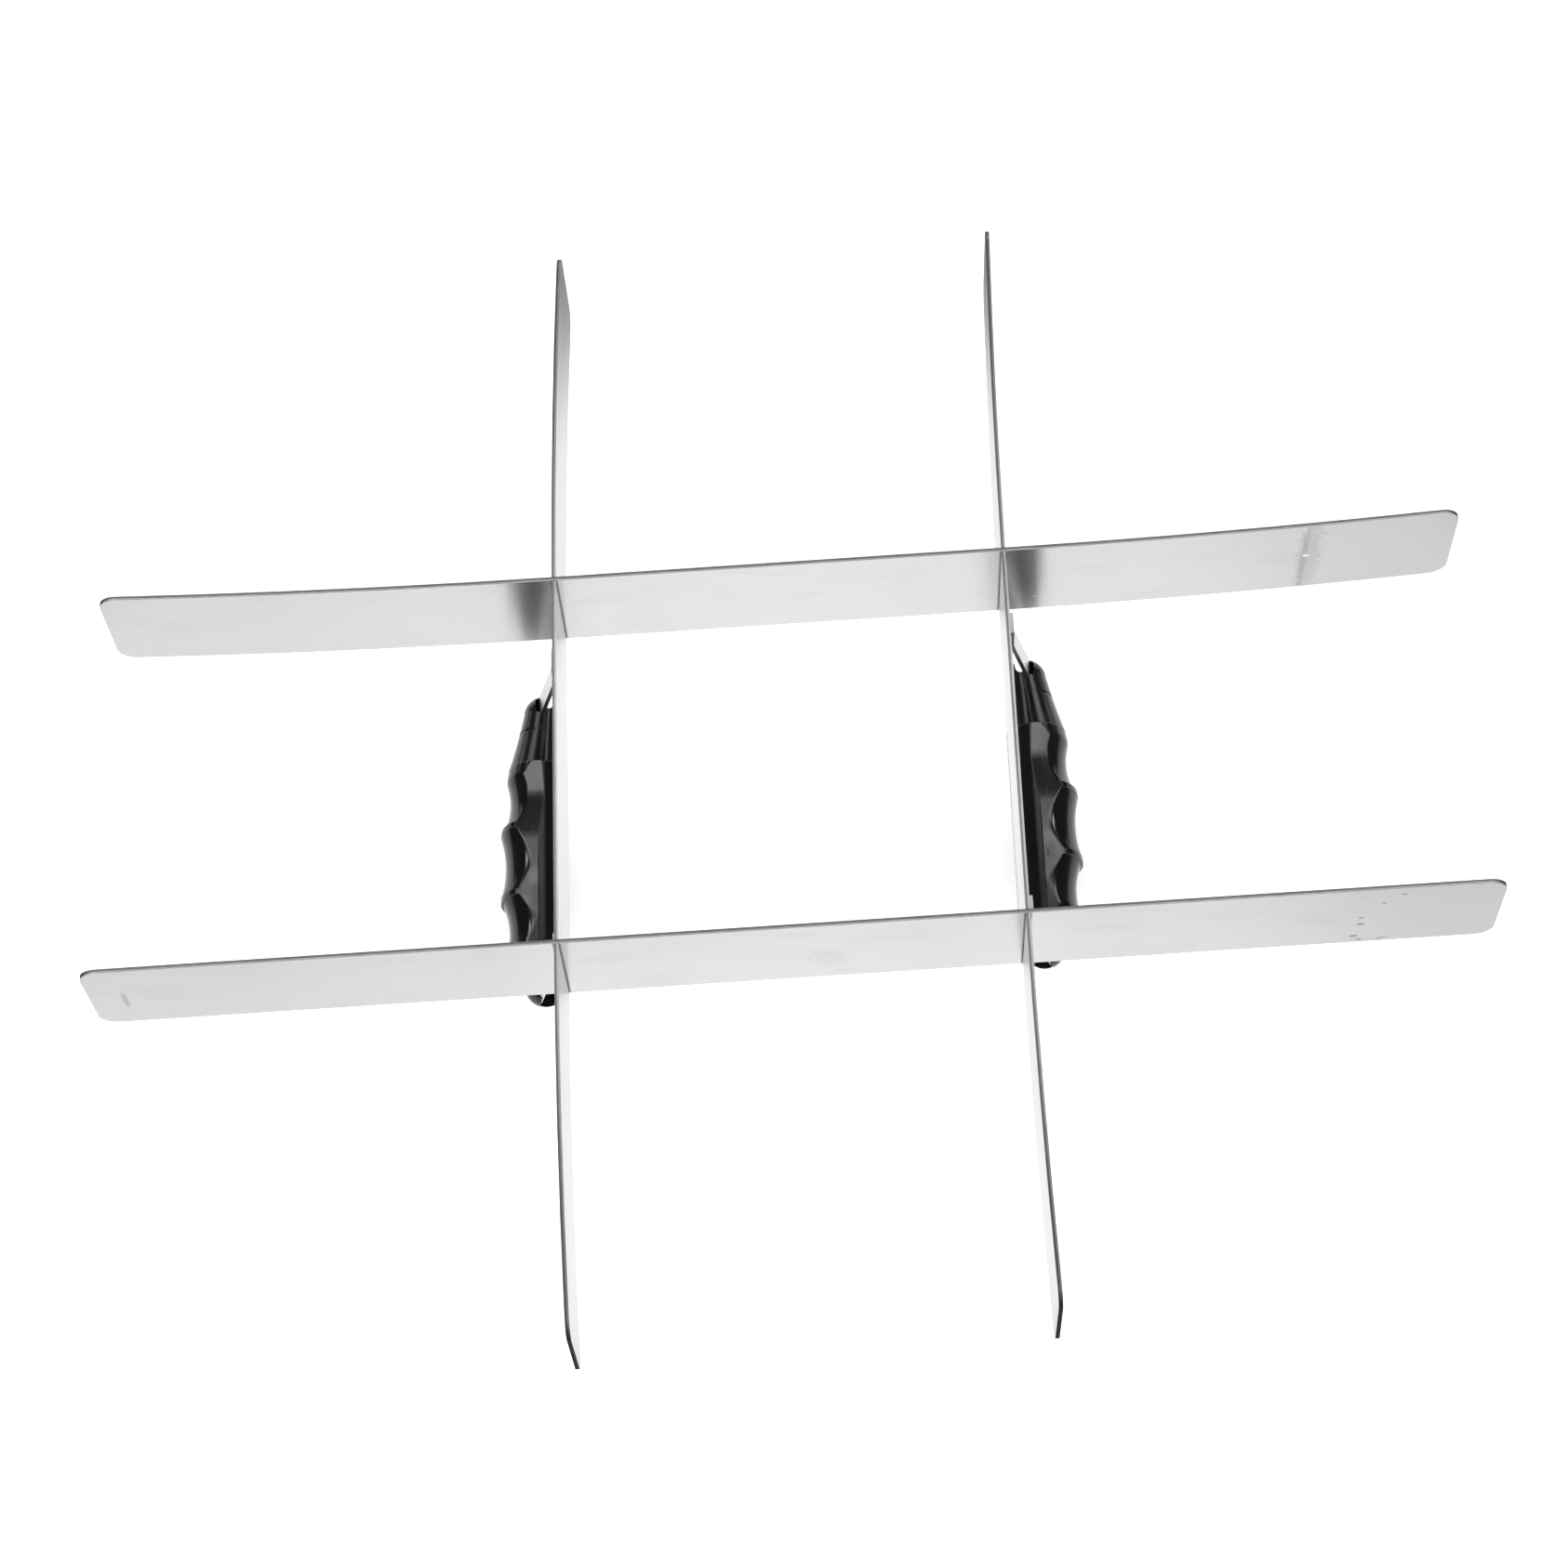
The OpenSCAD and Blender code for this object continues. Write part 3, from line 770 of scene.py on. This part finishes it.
def top_height(along):
    """Height of the moulded flat top, which sinks by parts of a millimetre: the sum of its gentle slopes"""
    fine = np.linspace(SINK_PLACES[0], SINK_PLACES[-1], 400)
    slope = np.tan(np.radians(np.interp(fine, SINK_PLACES, SINK_SLOPES)))
    rise = np.cumsum(slope) * (fine[1] - fine[0])
    return 2 * HALF_HEIGHT + np.interp(along, fine, rise - rise.max())


def write_mesh(name, points, quads, fans):
    """Mesh from whole arrays of points, four-sided faces and three-sided faces"""
    mesh = bpy.data.meshes.new(name)
    corners = np.concatenate([quads.ravel(), fans.ravel()]).astype(np.int32)
    sizes = np.concatenate([np.full(len(quads), 4), np.full(len(fans), 3)]).astype(np.int32)
    mesh.vertices.add(len(points))
    mesh.vertices.foreach_set("co", points.astype(np.float32).ravel())
    mesh.loops.add(corners.size)
    mesh.loops.foreach_set("vertex_index", corners)
    mesh.polygons.add(sizes.size)
    mesh.polygons.foreach_set("loop_start", np.concatenate([[0], np.cumsum(sizes)[:-1]]).astype(np.int32))
    mesh.update(calc_edges=True)
    mesh.validate()
    return mesh


def beside_blade(points, side, shift, pitch, racking):
    """Puts points of a grip's own frame, in millimetres, beside the left (-1) or right (+1) short blade"""
    x, y, z = points[:, 0] * side, points[:, 1] + shift / MM, points[:, 2]
    cos, sin = math.cos(-racking), math.sin(-racking)
    return np.column_stack([x * cos - y * sin + side * pitch / MM / 2, x * sin + y * cos, z]) * MM


def ring_angles():
    """Angles about a grip: even ones, with closer ones at both seams and at the edges of the flats"""
    seam_steps = np.array([-1.4, -0.9, -0.45, -0.15, 0, 0.15, 0.45, 0.9, 1.4])
    seams = [centre + seam_steps for centre in (90, 270)]
    edges = [np.arange(centre - 5, centre + 5.1, 0.7) for centre in (52, 308)]
    degrees = np.concatenate([np.arange(0, 360, 1.6), *seams, *edges])
    return np.unique(np.radians(degrees).round(5))


def grip_surface(lean, softness):
    """Closed surface of a whole grip as one polar grid

    It has rings along the grip, angles about its middle and a point at each tip. A point lies out from the
    middle by the radius times the cosine of its angle, and up by the radius times the sine, held between the
    floor and the sinking flat top.
    """
    out = plate_out(lean)
    angles = ring_angles()
    wide_out, cap_out = out + TAPER_OFFSET, out - CAP_INSET
    far = end_rings(CAP_REACH - FRONT_END, LONG_TAPER_RADIUS, wide_out, cap_out, LONG_GROOVE, angles)
    near = end_rings(CAP_REACH + BACK_END, SHORT_TAPER_RADIUS, wide_out, cap_out, SHORT_GROOVE, angles)
    along, body = body_rings(softness, angles)
    v = np.concatenate([CAP_REACH - far[0], along[::-1], -(CAP_REACH - near[0])[::-1]])
    centre = np.concatenate([far[1], np.full(along.size, out - LINE_INSET), near[1][::-1]])
    radius = np.concatenate([far[2], body[::-1], near[2][::-1]])
    u = centre[:, None] + radius * np.cos(angles)
    z = HALF_HEIGHT + radius * np.sin(angles)
    grid = np.stack([u, np.repeat(v[:, None], angles.size, axis=1), z], axis=-1).reshape(-1, 3)
    tips = np.array([[cap_out, side * (CAP_REACH + CAP_RADIUS), HALF_HEIGHT] for side in (1, -1)])
    points = np.concatenate([grid, tips])
    points[:, 2] = np.clip(points[:, 2], 0, top_height(points[:, 1]))
    rows, columns = radius.shape
    a = (np.arange(rows - 1)[:, None] * columns + np.arange(columns)[None, :]).ravel()
    b = (np.arange(rows - 1)[:, None] * columns + np.roll(np.arange(columns), -1)[None, :]).ravel()
    quads = np.column_stack([a, b, b + columns, a + columns])
    ring = np.arange(columns)
    turned = np.roll(ring, -1)
    last = (rows - 1) * columns
    first_tip = np.column_stack([turned, ring, np.full(columns, rows * columns)])
    last_tip = np.column_stack([ring + last, turned + last, np.full(columns, rows * columns + 1)])
    return points, quads, np.concatenate([first_tip, last_tip])


def leaning_prism(outline, low, high, lean, out):
    """Corners of a prism over a plan of three columns, the low ring and then the high one

    The columns are the place across the plate, the place along the grip, and how much the corner follows the
    lean of the leg, from 1 to 0 for straight up.
    """
    across, along, follow = np.tile(outline, (2, 1)).T
    up = np.repeat([low, high], len(outline))
    return np.column_stack([out + across - up * follow * math.tan(lean), along, HALF_HEIGHT + up])


def relief_plan():
    """Plan of the relief beside a leg: open past the end of the grip, with one rounded corner by the blade"""
    start, reach, corner, past = LEG_NEAR + 1.7, 6.0, 2.9, 75.0
    turn = np.radians(np.linspace(180, 270, 16))
    across = corner - reach + corner * np.cos(turn)
    arc = np.column_stack([across, start + corner + corner * np.sin(turn), 0 * turn])
    return np.concatenate([arc, [[0.0, start, 1.0], [0.0, past, 1.0], [-reach, past, 0.0]]])


def pocket_plan():
    """Plan of the pocket on the finger side of a leg, with two rounded corners"""
    start, reach, length, corner, overlap = LEG_NEAR + 0.7, 2.4, 6.6, 1.2, 0.4
    centre = reach - corner
    first, second = np.radians(np.linspace(-90, 0, 9)), np.radians(np.linspace(0, 90, 9))
    low, high = start + corner, start + length - corner
    near = np.column_stack([centre + corner * np.cos(first), low + corner * np.sin(first)])
    end = np.column_stack([centre + corner * np.cos(second), high + corner * np.sin(second)])
    plan = np.concatenate([[[-overlap, start]], near, end, [[-overlap, start + length]]])
    return np.column_stack([plan, np.ones(len(plan))])


def prism_faces(start, count):
    """Faces of a prism whose low ring of corners begins at start and whose high ring follows it"""
    low = [start + i for i in range(count)]
    high = [corner + count for corner in low]
    walls = [[low[i - 1], low[i], high[i], high[i - 1]] for i in range(count)]
    return [low[::-1], high, *walls]


def cut_away(piece, plan, low, high, lean, place):
    """Takes the leaning prism over a plan, and its mirror image at the other end, out of a piece"""
    out = plate_out(lean)
    plans = (plan, (plan * (1, -1, 1))[::-1])
    points = np.concatenate([place(leaning_prism(one, low, high, lean, out)) for one in plans])
    faces = prism_faces(0, len(plan)) + prism_faces(2 * len(plan), len(plan))
    mesh = bpy.data.meshes.new("cutter")
    mesh.from_pydata(points.tolist(), [], faces)
    shape = bmesh.new()
    shape.from_mesh(mesh)
    bmesh.ops.recalc_face_normals(shape, faces=shape.faces)
    shape.to_mesh(mesh)
    shape.free()
    cutter = bpy.data.objects.new("cutter", mesh)
    bpy.context.scene.collection.objects.link(cutter)
    modifier = piece.modifiers.new("relief", "BOOLEAN")
    modifier.operation = "DIFFERENCE"
    modifier.solver = "MANIFOLD"
    modifier.object = cutter
    depsgraph = bpy.context.evaluated_depsgraph_get()
    result = bpy.data.meshes.new_from_object(piece.evaluated_get(depsgraph))
    piece.modifiers.clear()
    if len(result.vertices) < len(piece.data.vertices) / 2:
        raise RuntimeError("the cut emptied " + piece.name)
    old = piece.data
    piece.data = result
    bpy.data.meshes.remove(old)
    bpy.data.objects.remove(cutter)
    bpy.data.meshes.remove(mesh)


def add_grip(name, side, lean, shift, sizes, material):
    """Adds one grip as a piece of its own in place of the solid of that name"""
    points, quads, fans = grip_surface(lean, sizes.softness / MM)
    if side < 0:
        quads, fans = quads[:, ::-1], fans[:, ::-1]

    def place(these):
        return beside_blade(these, side, shift, sizes.blade_pitch, sizes.racking)

    piece = bpy.data.objects.new(name + "_skin", write_mesh(name + "_skin", place(points), quads, fans))
    bpy.context.scene.collection.objects.link(piece)
    cut_away(piece, relief_plan(), *RELIEF_HEIGHTS, lean, place)
    cut_away(piece, pocket_plan(), *POCKET_HEIGHTS, lean, place)
    piece.data.materials.clear()
    piece.data.materials.append(material)
    piece.data.shade_smooth()
    piece.data.set_sharp_from_angle(angle=CREASE_ANGLE)
    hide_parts(name)
    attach(piece, "root")


class MARKER_OT_blades(bpy.types.Operator):
    """Brushed steel, cut edges and marks on the four blades"""

    bl_idname = "marker.blades"
    bl_label = "Blades"

    def execute(self, context):
        sizes = context.scene.marker_sizes
        colour = tuple(context.scene.marker_finish.steel)
        pitch = sizes.brush_pitch / MM
        half_pitch = sizes.blade_pitch / MM / 2
        sideways = HALF_LONG_PITCH * math.tan(sizes.racking)
        short_crossing = HALF_LONG_PITCH / math.cos(sizes.racking)
        turn = math.pi / 2 - sizes.racking
        back = ("long_blade_back", (sideways, HALF_LONG_PITCH, 0.0), 0.0, half_pitch, LONG_HALF, BACK_BOW)
        front = ("long_blade_front", (-sideways, -HALF_LONG_PITCH, 0.0), 0.0, half_pitch, LONG_HALF, 0.0)
        left = ("short_blade_left", (-half_pitch, 0.0, 0.0), turn, short_crossing, SHORT_HALF, LEFT_BOW)
        right = ("short_blade_right", (half_pitch, 0.0, 0.0), turn, short_crossing, SHORT_HALF, RIGHT_BOW)
        rows = ((back, BACK_MARKS), (front, FRONT_MARKS), (left, ()), (right, ()))
        for (name, *place), marks in rows:
            dress(name, blade_material(name + "_steel", colour, *place, pitch, marks))
        return {"FINISHED"}


class MARKER_OT_plates(bpy.types.Operator):
    """Strap steel on the two handle plates"""

    bl_idname = "marker.plates"
    bl_label = "Handle plates"

    def execute(self, context):
        sizes = context.scene.marker_sizes
        turn = math.pi / 2 - sizes.racking
        material = plate_material(tuple(context.scene.marker_finish.steel), turn, sizes.brush_pitch / MM)
        for name in ("handle_plate_left", "handle_plate_right"):
            dress(name, material)
        return {"FINISHED"}


class MARKER_OT_grips(bpy.types.Operator):
    """Finely moulded black grips in place of the plain ones"""

    bl_idname = "marker.grips"
    bl_label = "Finger grips"

    def execute(self, context):
        sizes = context.scene.marker_sizes
        material = plastic_material(tuple(context.scene.marker_finish.grip))
        for name in ("grip_left", "grip_right"):
            dress(name, material)
        add_grip("grip_left", -1, sizes.lean_left, sizes.shift_left, sizes, material)
        add_grip("grip_right", 1, sizes.lean_right, sizes.shift_right, sizes, material)
        return {"FINISHED"}


class MARKER_PT_panel(bpy.types.Panel):
    """Lists the steps that dress the marker"""

    bl_idname = "MARKER_PT_panel"
    bl_label = "Cake portion marker"
    bl_space_type = "VIEW_3D"
    bl_region_type = "UI"
    bl_category = "Marker"

    def draw(self, context):
        layout = self.layout
        for step in STEPS:
            layout.operator(step.bl_idname)
        for group in (context.scene.marker_sizes, context.scene.marker_finish):
            box = layout.box()
            for key in group.bl_rna.properties.keys():
                if key not in ("rna_type", "name"):
                    box.prop(group, key)


STEPS = (MARKER_OT_blades, MARKER_OT_plates, MARKER_OT_grips, MARKER_OT_stage)
CLASSES = (MarkerSizes, MarkerFinish, *STEPS, MARKER_PT_panel)


def register():
    for cls in CLASSES:
        bpy.utils.register_class(cls)
    bpy.types.Scene.marker_sizes = bpy.props.PointerProperty(type=MarkerSizes)
    bpy.types.Scene.marker_finish = bpy.props.PointerProperty(type=MarkerFinish)


def unregister():
    del bpy.types.Scene.marker_finish
    del bpy.types.Scene.marker_sizes
    for cls in reversed(CLASSES):
        bpy.utils.unregister_class(cls)


def main():
    register()
    bpy.ops.marker.blades()
    bpy.ops.marker.plates()
    bpy.ops.marker.grips()
    bpy.ops.marker.stage()


if __name__ == "__main__":
    main()
